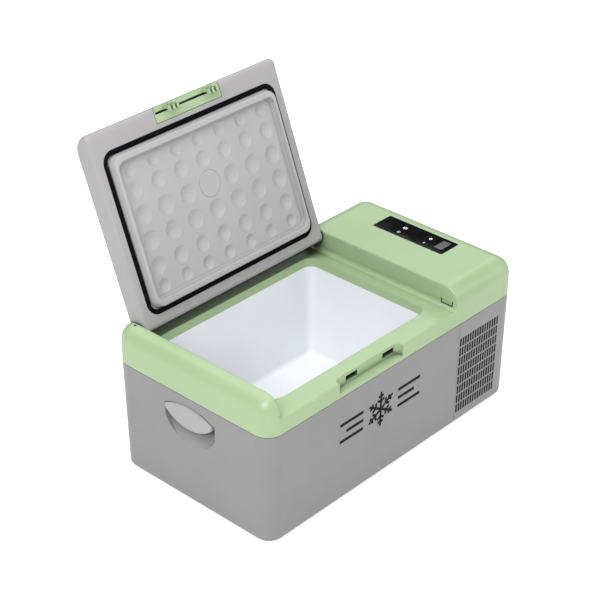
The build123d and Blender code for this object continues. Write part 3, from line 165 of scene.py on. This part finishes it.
def moulded(
    name, colour, roughness=0.45, grain=0.12, streak=0.0, edge=0.5 * MM, wear_and_highlight=0.35, uneven=1.0,
    specular=0.4, painted_shade_reach=0.0,
):
    """Injection-moulded plastic: leathery grain, faint flow marks, softened edges made lighter, partly
    worn plastic and partly a painted highlight.

    Painted shade: where other surfaces stand closer than painted_shade_reach over the surface, its
    colour is darkened towards a tenth.
    """
    g = Graph(name)
    g.bsdf.inputs["Specular IOR Level"].default_value = specular
    flow = g.noise(7.0, 4.0)
    base = g.mix(g.spread(flow, 0.0, 1.0), shade(colour, 0.965), shade(colour, 1.03))
    if streak:
        lines = g.noise(1.0, 5.0, g.stretched((900.0, 900.0, 6.0)))
        base = g.mix(g.spread(lines, 0.0, streak), base, shade(colour, 1.3))
    soft = g.rounded(edge)
    # edges lighter by a quarter: partly worn plastic, partly a painted highlight of rounded edges
    # catching the light
    rubbed_and_highlit = g.patchy_edge_mask(soft, wear_and_highlight)
    base = g.mix(rubbed_and_highlit, base, shade(colour, 1.25))
    # painted shade in gaps and under overhanging parts, from an occlusion mask
    if painted_shade_reach:
        lit = g.spread(g.openness(painted_shade_reach), 0.0, 1.0, source=(0.28, 0.64))
        base = g.mix(lit, shade(colour, 0.10), base)
    g.feed(g.bsdf.inputs["Base Color"], base)
    patchy = 0.05 * uneven
    g.feed(g.bsdf.inputs["Roughness"], g.spread(g.noise(45.0), roughness - patchy, roughness + patchy))
    g.feed(g.bsdf.inputs["Normal"], g.bump(g.noise(1500.0, 2.0), grain, 0.12 * MM, soft))
    return g.material


def polished(name, colour, roughness=0.02, smudge=0.04, specular=0.5):
    """Glossy plastic with faint finger smudges and hairline scratches."""
    g = Graph(name)
    g.bsdf.inputs["Specular IOR Level"].default_value = specular
    smear = g.spread(g.noise(38.0, 5.0), 0.0, smudge)
    hairs = g.noise(1.0, 2.0, g.stretched((260.0, 3200.0, 260.0)))
    rough = g.add("ShaderNodeMath", operation="ADD")
    g.feed(rough.inputs[0], smear)
    rough.inputs[1].default_value = roughness
    g.feed(g.bsdf.inputs["Base Color"], g.mix(smear, shade(colour, 1.0), shade(colour, 1.8)))
    g.feed(g.bsdf.inputs["Roughness"], rough.outputs["Value"])
    g.feed(g.bsdf.inputs["Normal"], g.bump(hairs, 0.02, 0.01 * MM, g.rounded(0.25 * MM)))
    return g.material


def metal(name, colour, roughness=0.3, streaks=(120.0, 120.0, 2600.0), grime=0.25):
    """Bare metal with drawn or brushed streaks and dull patches."""
    g = Graph(name)
    lines = g.noise(1.0, 4.0, g.stretched(streaks))
    patch = g.spread(g.noise(24.0, 4.0), 0.0, grime)
    g.feed(g.bsdf.inputs["Base Color"], g.mix(patch, shade(colour, 1.0), shade(colour, 0.6)))
    rough = g.spread(lines, roughness - 0.08, roughness + 0.12)
    g.feed(g.bsdf.inputs["Roughness"], rough)
    g.feed(g.bsdf.inputs["Normal"], g.bump(lines, 0.12, 0.05 * MM, g.rounded(0.3 * MM)))
    g.bsdf.inputs["Metallic"].default_value = 1.0
    return g.material


def painted(name, colour, roughness=0.35):
    """Baked enamel on pressed steel: orange peel, small chips at the edges."""
    g = Graph(name)
    soft = g.rounded(0.6 * MM)
    chips = g.patchy_edge_mask(soft, 0.8)
    g.feed(g.bsdf.inputs["Base Color"], g.mix(chips, shade(colour, 1.0), (0.32, 0.31, 0.30, 1.0)))
    g.feed(g.bsdf.inputs["Roughness"], g.spread(g.noise(30.0), roughness - 0.08, roughness + 0.1))
    g.feed(g.bsdf.inputs["Normal"], g.bump(g.noise(320.0, 2.0), 0.12, 0.2 * MM, soft))
    return g.material


def rubbery(name, colour, roughness=0.72, dust=0.16, specular=0.5, sheen=0.1):
    """Matt rubber with fine pores and a little dust."""
    g = Graph(name)
    g.bsdf.inputs["Specular IOR Level"].default_value = specular
    dusty = g.spread(g.noise(55.0, 5.0), 0.0, dust)
    g.feed(g.bsdf.inputs["Base Color"], g.mix(dusty, shade(colour, 1.0), (0.16, 0.155, 0.15, 1.0)))
    g.feed(g.bsdf.inputs["Roughness"], g.spread(g.noise(90.0), roughness - 0.08, roughness + 0.08))
    g.feed(g.bsdf.inputs["Normal"], g.bump(g.noise(2400.0, 2.0), 0.2, 0.1 * MM, g.rounded(0.4 * MM)))
    g.bsdf.inputs["Sheen Weight"].default_value = sheen
    return g.material


def cellular(name, colour):
    """Rigid foam: broken cells over lumpy, yellowed patches."""
    g = Graph(name)
    patch = g.spread(g.noise(14.0, 4.0), 0.0, 1.0)
    g.feed(g.bsdf.inputs["Base Color"], g.mix(patch, shade(colour, 0.86), shade(colour, 1.06)))
    g.bsdf.inputs["Roughness"].default_value = 0.92
    pores = g.bump(g.cells(700.0), 0.7, 0.6 * MM)
    g.feed(g.bsdf.inputs["Normal"], g.bump(g.noise(40.0), 0.3, 1.5 * MM, pores))
    return g.material


def circuit(name, colour):
    """Varnished board with paler tracks under the green."""
    g = Graph(name)
    tracks = g.spread(g.cells(260.0, "DISTANCE_TO_EDGE"), 1.0, 0.0, source=(0.02, 0.08))
    g.feed(g.bsdf.inputs["Base Color"], g.mix(tracks, shade(colour, 1.0), shade(colour, 2.4)))
    g.feed(g.bsdf.inputs["Roughness"], g.spread(g.noise(50.0), 0.22, 0.38))
    g.feed(g.bsdf.inputs["Normal"], g.bump(tracks, 0.25, 0.06 * MM, g.rounded(0.2 * MM)))
    return g.material


def smoked_window(name, colour):
    """Display window: dark film over a faint dot grid."""
    g = Graph(name)
    dots = g.spread(g.cells(1100.0), 0.0, 0.35, source=(0.2, 0.5))
    g.feed(g.bsdf.inputs["Base Color"], g.mix(dots, shade(colour, 1.0), shade(colour, 0.55)))
    g.feed(g.bsdf.inputs["Roughness"], g.spread(g.noise(40.0, 4.0), 0.08, 0.16))
    g.feed(g.bsdf.inputs["Normal"], g.rounded(0.2 * MM))
    return g.material


def ink(name, colour, roughness=0.5, specular=0.5):
    """Screen-printed ink, slightly uneven."""
    g = Graph(name)
    g.bsdf.inputs["Specular IOR Level"].default_value = specular
    uneven = g.spread(g.noise(400.0, 3.0), 0.0, 1.0)
    g.feed(g.bsdf.inputs["Base Color"], g.mix(uneven, shade(colour, 0.9), shade(colour, 1.15)))
    g.feed(g.bsdf.inputs["Roughness"], g.spread(g.noise(120.0), roughness - 0.06, roughness + 0.06))
    g.feed(g.bsdf.inputs["Normal"], g.bump(g.noise(2600.0), 0.1, 0.03 * MM))
    return g.material


def netting(name, colour, pitch=0.9 * MM):
    """Woven dust net: crossing threads, with the gaps between them painted near-black as shade seen
    through the net.
    """
    g = Graph(name)
    threads = []
    for axis in "XZ":
        wave = g.add("ShaderNodeTexWave", wave_type="BANDS", bands_direction=axis)
        wave.inputs["Scale"].default_value = 0.314 / pitch
        g.feed(wave.inputs["Vector"], g.position)
        threads.append(wave.outputs["Fac"])
    woven = g.add("ShaderNodeMath", operation="MAXIMUM")
    g.feed(woven.inputs[0], threads[0])
    g.feed(woven.inputs[1], threads[1])
    thread = woven.outputs["Value"]
    # gaps between the threads darkened to a fifth: painted shade where the net would be open
    g.feed(g.bsdf.inputs["Base Color"], g.mix(thread, shade(colour, 0.2), shade(colour, 1.0)))
    g.bsdf.inputs["Roughness"].default_value = 0.8
    g.bsdf.inputs["Specular IOR Level"].default_value = 0.2
    g.feed(g.bsdf.inputs["Normal"], g.bump(thread, 0.5, 0.2 * MM))
    return g.material


# painted_shade_reach sets how far the painted shade in gaps reaches for each plastic
FINISHES = {
    "case_grey": moulded(
        "case_grey", (0.206, 0.203, 0.204), 0.38, streak=0.10, edge=0.8 * MM, painted_shade_reach=6 * MM
    ),
    # the long reach paints shade on the rim under the open lid
    "frame_green": moulded(
        "frame_green", (0.292, 0.404, 0.226), 0.36, edge=1.2 * MM, uneven=0.6, specular=0.5,
        painted_shade_reach=36 * MM,
    ),
    "lid_grey": moulded("lid_grey", (0.310, 0.303, 0.306), 0.44, painted_shade_reach=4 * MM),
    # paler copy of lid_grey: painted light on the lit inner face of the lid
    "lid_lining": moulded("lid_lining", (0.352, 0.345, 0.350), 0.44, painted_shade_reach=4 * MM),
    "liner_white": moulded(
        "liner_white", (0.748, 0.762, 0.788), 0.36, grain=0.04, wear_and_highlight=0.0, uneven=0.2
    ),
    "seal_black": rubbery(
        "seal_black", (0.003, 0.003, 0.004), dust=0.01, specular=0.04, sheen=0.0
    ),
    "foot_rubber": rubbery("foot_rubber", (0.022, 0.022, 0.022)),
    "panel_black": polished("panel_black", (0.0025, 0.0025, 0.003), specular=0.12),
    "display_grey": smoked_window("display_grey", (0.060, 0.066, 0.070)),
    "board_green": circuit("board_green", (0.012, 0.085, 0.035)),
    "dark_plastic": moulded("dark_plastic", (0.022, 0.022, 0.024), 0.5),
    "foam": cellular("foam", (0.720, 0.610, 0.330)),
    "steel": metal("steel", (0.560, 0.560, 0.565), 0.34),
    "black_steel": painted("black_steel", (0.015, 0.015, 0.016)),
    "aluminium": metal("aluminium", (0.720, 0.725, 0.735), 0.36),
    "black_fin": painted("black_fin", (0.010, 0.010, 0.011), 0.6),
    "copper": metal("copper", (0.780, 0.360, 0.230), 0.28, streaks=(200.0, 200.0, 200.0), grime=0.45),
    "brass": metal("brass", (0.720, 0.540, 0.240), 0.25),
    "spring_steel": metal("spring_steel", (0.420, 0.420, 0.430), 0.22),
    "net_black": netting("net_black", (0.014, 0.014, 0.015)),
    "wire": rubbery("wire", (0.020, 0.020, 0.022), 0.5),
    "print_black": ink("print_black", (0.006, 0.006, 0.007), 0.7, specular=0.1),
    "print_white": ink("print_white", (0.70, 0.71, 0.72)),
    "segment_grey": ink("segment_grey", (0.020, 0.022, 0.024), 0.25),
}

for part in frame["record"]["subparts"]:
    body = NODES[part["node"]].data
    body.materials.clear()
    body.materials.append(FINISHES[part["material_slot"]])
# the inner panel and its cap get a paler copy of the lid grey: painted light, as that face catches
# more light than the shell
for node in ("lid_inner_panel", "lid_plug_cap"):
    NODES[node].data.materials[0] = FINISHES["lid_lining"]


# ---------------------------------------------------------------------------
# Flat printed shapes
# ---------------------------------------------------------------------------
def prism(name, outlines, thickness, place, material, body):
    """Thin solid from flat outlines in millimetres, put in place by a matrix, riding on a body."""
    mesh = bpy.data.meshes.new(name)
    bm = bmesh.new()
    for outline in outlines:
        corners = [bm.verts.new((x * MM, y * MM, 0.0)) for x, y in outline]
        face = bm.faces.new(corners)
        raised = bmesh.ops.extrude_face_region(bm, geom=[face])["geom"]
        lifted = [item for item in raised if isinstance(item, bmesh.types.BMVert)]
        bmesh.ops.translate(bm, verts=lifted, vec=(0.0, 0.0, thickness * MM))
    bmesh.ops.recalc_face_normals(bm, faces=bm.faces)
    bm.to_mesh(mesh)
    bm.free()
    mesh.materials.append(FINISHES[material])
    piece = bpy.data.objects.new(name, mesh)
    bpy.context.scene.collection.objects.link(piece)
    piece.matrix_world = place
    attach(piece, body)
    return piece


def turned(points, angle, centre=(0.0, 0.0)):
    """Points turned about the origin by angle, then moved to centre."""
    c, s = cos(angle), sin(angle)
    return [(centre[0] + x * c - y * s, centre[1] + x * s + y * c) for x, y in points]


def bar(width, height, centre=(0.0, 0.0), angle=0.0):
    """Rectangle outline."""
    w, h = width / 2, height / 2
    return turned([(-w, -h), (w, -h), (w, h), (-w, h)], angle, centre)


def arc_band(radius, width, start, end, steps=20):
    """Outline of a ring segment from angle start to end."""
    angles = [start + (end - start) * step / steps for step in range(steps + 1)]
    outer = [((radius + width / 2) * cos(a), (radius + width / 2) * sin(a)) for a in angles]
    inner = [((radius - width / 2) * cos(a), (radius - width / 2) * sin(a)) for a in reversed(angles)]
    return outer + inner


def snowflake(reach, half_width, barbs):
    """One closed outline: six arms with barbs given as (height on the arm, length)."""
    lean = Vector((sin(pi / 3), cos(pi / 3)))
    across = Vector((cos(pi / 3), -sin(pi / 3)))
    right = [Vector((half_width, half_width / TAN30))]
    for height, length in barbs:
        root = Vector((0.0, height))
        rise = half_width * TAN30
        spread = half_width / cos(pi / 6)
        right.append(Vector((half_width, height + rise - spread)))
        right.append(root + lean * length + across * half_width)
        right.append(root + lean * length - across * half_width)
        right.append(Vector((half_width, height + rise + spread)))
    right.append(Vector((half_width, reach)))
    arm = right + [Vector((-p.x, p.y)) for p in reversed(right)][:-1]
    outline = []
    for turn in range(6):
        outline += turned([tuple(p) for p in arm], turn * pi / 3)
    return outline


WALL_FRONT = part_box("outer_case")[0].y
WALL_TOP_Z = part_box("outer_case")[1].z
CASE_DRAFT = 3.5 / 189.0  # the case narrows by this much per unit of height, towards its foot


def on_front_wall(x, z, depth=0.0):
    """Place on the drafted front wall, facing out, sunk below the wall by depth."""
    wall_y = WALL_FRONT + (WALL_TOP_Z - z) * CASE_DRAFT
    facing = Matrix.Rotation(pi / 2 + CASE_DRAFT, 4, "X")
    return Matrix.Translation((x, wall_y, z)) @ facing @ Matrix.Translation((0.0, 0.0, -depth))


# Front mark: a snowflake between three stripes on either side
MARK_X, MARK_Z = -0.041, 0.131
STRIPE_START = 40.0
STRIPE_PITCH = 15.0
STRIPE_WIDTH = 5.4
STRIPE_LENGTHS = (52.0, 38.0, 52.0)
mark = [snowflake(31.0, 2.1, ((13.0, 9.0), (21.5, 6.5)))]
for side in (-1, 1):
    for row, length in enumerate(STRIPE_LENGTHS):
        centre = (side * (STRIPE_START + length / 2), (1 - row) * STRIPE_PITCH)
        mark.append(bar(length, STRIPE_WIDTH, centre))
prism("front_mark", mark, 0.12, on_front_wall(MARK_X, MARK_Z), "print_black", "body")

# Black dust nets in the thinned walls behind the front and back grilles; as a dark sheet they also
# stand in for the shade seen through the slots
GRILLE_CENTRE_X, GRILLE_CENTRE_Z = 0.19675, 0.0975
NET_DEPTH = 2.2 * MM
NET_SIZE = (94.0, 142.0)
for side, turn, x in (("front", 0.0, GRILLE_CENTRE_X), ("back", pi, -GRILLE_CENTRE_X)):
    place = Matrix.Rotation(turn, 4, "Z") @ on_front_wall(x, GRILLE_CENTRE_Z, NET_DEPTH)
    prism("grille_net_" + side, [bar(*NET_SIZE)], 0.9, place, "net_black", "body")


# Signs on the keys, in millimetres from the middle of each key
GLYPHS = {
    "power_key": [arc_band(2.2, 0.9, radians(130), radians(410)), bar(0.9, 2.8, (0.0, 1.7))],
    "mode_key": [bar(width, 1.7, (0.0, y)) for y, width in ((-2.9, 5.6), (0.0, 8.4), (2.9, 5.6))],
    "down_key": [bar(4.6, 1.3)],
    "up_key": [bar(6.6, 1.8), bar(1.8, 2.4, (0.0, 2.1)), bar(1.8, 2.4, (0.0, -2.1))],
}
for key, outlines in GLYPHS.items():
    low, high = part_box(key)
    middle = (low + high) / 2
    place = Matrix.Translation((middle.x, middle.y, high.z - 0.01 * MM))
    prism(key + "_glyph", outlines, 0.05, place, "print_white", key)

# Two unlit seven-segment digits in the display window
low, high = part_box("display_window")
window = (low + high) / 2
DIGIT_OFFSETS = (-4.6, 4.6)
DIGIT_HALF_WIDTH, DIGIT_HALF_HEIGHT = 2.5, 3.9
SEGMENT_WIDTH = 0.9
digits = []
for offset in DIGIT_OFFSETS:
    for y in (-DIGIT_HALF_HEIGHT, 0.0, DIGIT_HALF_HEIGHT):
        digits.append(bar(3.4, SEGMENT_WIDTH, (offset, y)))
    for x in (-DIGIT_HALF_WIDTH, DIGIT_HALF_WIDTH):
        for y in (-DIGIT_HALF_HEIGHT / 2, DIGIT_HALF_HEIGHT / 2):
            digits.append(bar(SEGMENT_WIDTH, 2.7, (offset + x, y)))
place = Matrix.Translation((window.x, window.y, high.z - 0.01 * MM))
prism("display_segments", digits, 0.04, place, "segment_grey", "body")


# ---------------------------------------------------------------------------
# Studio
# ---------------------------------------------------------------------------
def area_light(name, location, target, size, power):
    """Rectangular soft box at a location, turned to a target, with its power in watts."""
    data = bpy.data.lights.new(name, "AREA")
    data.shape = "RECTANGLE"
    data.size, data.size_y = size
    data.energy = power
    light = bpy.data.objects.new(name, data)
    bpy.context.scene.collection.objects.link(light)
    light.location = location
    light.rotation_euler = (Vector(target) - Vector(location)).to_track_quat("-Z", "Y").to_euler()
    light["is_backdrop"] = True


def by_ray(tree, general, **levels):
    """General value, replaced for the kinds of ray that are named."""
    rays = tree.nodes.new("ShaderNodeLightPath")
    current = general
    for ray, value in levels.items():
        choose = tree.nodes.new("ShaderNodeMix")
        tree.links.new(rays.outputs[f"Is {ray.title()} Ray"], choose.inputs["Factor"])
        if isinstance(current, bpy.types.NodeSocket):
            tree.links.new(current, choose.inputs["A"])
        else:
            choose.inputs["A"].default_value = current
        choose.inputs["B"].default_value = value
        current = choose.outputs["Result"]
    return current


FLOOR_REACH = 12.0
floor_mesh = bpy.data.meshes.new("floor")
corners = ((-1, -1), (1, -1), (1, 1), (-1, 1))
floor_points = [(x * FLOOR_REACH, y * FLOOR_REACH, 0.0) for x, y in corners]
floor_mesh.from_pydata(floor_points, [], [(0, 1, 2, 3)])
floor = bpy.data.objects.new("floor", floor_mesh)
bpy.context.scene.collection.objects.link(floor)
g = Graph("floor_white")
g.bsdf.inputs["Base Color"].default_value = (0.9, 0.9, 0.9, 1.0)
g.bsdf.inputs["Roughness"].default_value = 0.9
g.bsdf.inputs["Emission Color"].default_value = (1.0, 1.0, 1.0, 1.0)
# pure white to the camera far from the object, and a bright bounce on its sides
g.feed(g.bsdf.inputs["Emission Strength"], by_ray(g.tree, 0.35, glossy=0.05, camera=0.62))
floor_mesh.materials.append(g.material)
floor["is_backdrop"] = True

TARGET = Vector((-0.048, 0.0, 0.260))
area_light("key", (-2.3, -0.9, 2.1), TARGET, (1.5, 1.5), 64)
area_light("fill", (1.6, -2.4, 1.6), TARGET, (2.0, 1.6), 28)
area_light("top", (-0.2, -0.3, 2.8), TARGET, (2.2, 2.0), 44)
# two soft boxes behind the object give the sheen on the rim, the cheek and part of the panel
area_light("back_right", (2.4, 1.5, 2.53), (-2.0, 1.5, 2.53), (2.4, 1.42), 30)
area_light("back_left", (-0.5, 2.0, 2.6), (-0.5, -2.0, 1.2), (2.0, 1.4), 30)

world = bpy.data.worlds.new("studio")
world.use_nodes = True
background = world.node_tree.nodes["Background"]
background.inputs["Color"].default_value = (1.0, 1.0, 1.0, 1.0)
# white where the camera sees it, dim in reflections, dimmer than white as a light
sky = by_ray(world.node_tree, 0.32, glossy=0.10, camera=1.0)
world.node_tree.links.new(sky, background.inputs["Strength"])
bpy.context.scene.world = world
bpy.context.scene.view_settings.view_transform = "Standard"

# Camera: 47.2 degrees to the left of the front, 31 degrees above the horizon
CAMERA_DISTANCE = 2.651
azimuth, elevation = radians(-47.2), radians(31.0)
back = Vector((sin(azimuth) * cos(elevation), -cos(azimuth) * cos(elevation), sin(elevation)))
camera = bpy.data.objects.new("camera", bpy.data.cameras.new("camera"))
camera.data.lens = 105.0
camera.data.sensor_width = 36.0
camera.data.clip_start, camera.data.clip_end = 0.05, 100.0
camera.location = TARGET + back * CAMERA_DISTANCE
camera.rotation_euler = (-back).to_track_quat("-Z", "Y").to_euler()
bpy.context.scene.collection.objects.link(camera)
bpy.context.scene.camera = camera

low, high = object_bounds()
